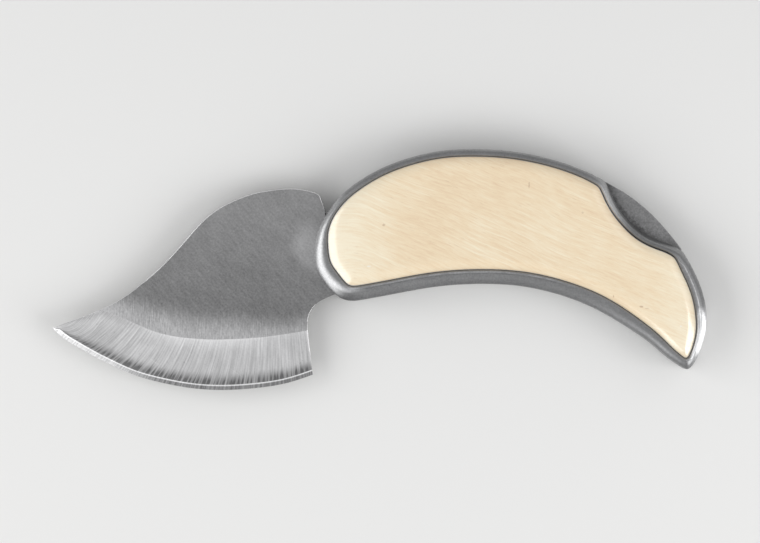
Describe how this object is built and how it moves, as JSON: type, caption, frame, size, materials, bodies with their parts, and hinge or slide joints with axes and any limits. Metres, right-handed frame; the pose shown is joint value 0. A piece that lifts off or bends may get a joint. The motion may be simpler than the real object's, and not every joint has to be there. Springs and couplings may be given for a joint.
{
  "type": "folding ulu knife",
  "caption": "Folding ulu knife, open: wide curved blade on a pivot pin, arched steel handle with crowned wooden inlays, and a sprung rocking bar along the back that locks the blade.",
  "frame": {"origin": "on the axis that the blade turns about, on the flat outer face of the rear inlay, which the knife rests on", "axes": "+X along the handle towards its butt, +Y across it towards the back and the lock bar, +Z through the thickness, away from the face it rests on"},
  "size_m": [0.1703, 0.0627, 0.0132],
  "materials": {
    "blade_steel": "fine satin on the flats, lighter vertical grinding lines on the bevel",
    "frame_steel": "satin cast steel with softly polished rims",
    "bar_steel": "darker satin steel",
    "spring_steel": "plain spring steel",
    "pin_steel": "plain turned steel, peened ends",
    "washer_bronze": "plain thin bronze",
    "pale_wood": "fine pale wood with a low sheen, grain running down towards the butt"
  },
  "bodies": {
    "handle": {"front_frame": "frame_steel", "rear_frame": "frame_steel", "front_inlay": "pale_wood", "rear_inlay": "pale_wood", "butt_spacer": "frame_steel", "lock_spring": "spring_steel", "pivot_pin": "pin_steel", "rocker_pin": "pin_steel", "butt_upper_pin": "pin_steel", "butt_lower_pin": "pin_steel", "front_washer": "washer_bronze", "rear_washer": "washer_bronze"},
    "blade": {"blade": "blade_steel"},
    "lock_bar": {"lock_bar": "bar_steel"}
  },
  "joints": [
    {"name": "blade_fold", "type": "hinge", "parent": "handle", "child": "blade", "pos_m": [0, 0, 0.0066], "axis": [0, 0, 1], "range_deg": [0, 157]},
    {"name": "lock_bar_press", "type": "hinge", "parent": "handle", "child": "lock_bar", "pos_m": [0.03385, 0.0253, 0.0066], "axis": [0, 0, -1], "range_deg": [-2.2, 2], "stiffness_Nm_per_rad": 4, "deforming": ["lock_spring"]}
  ]
}
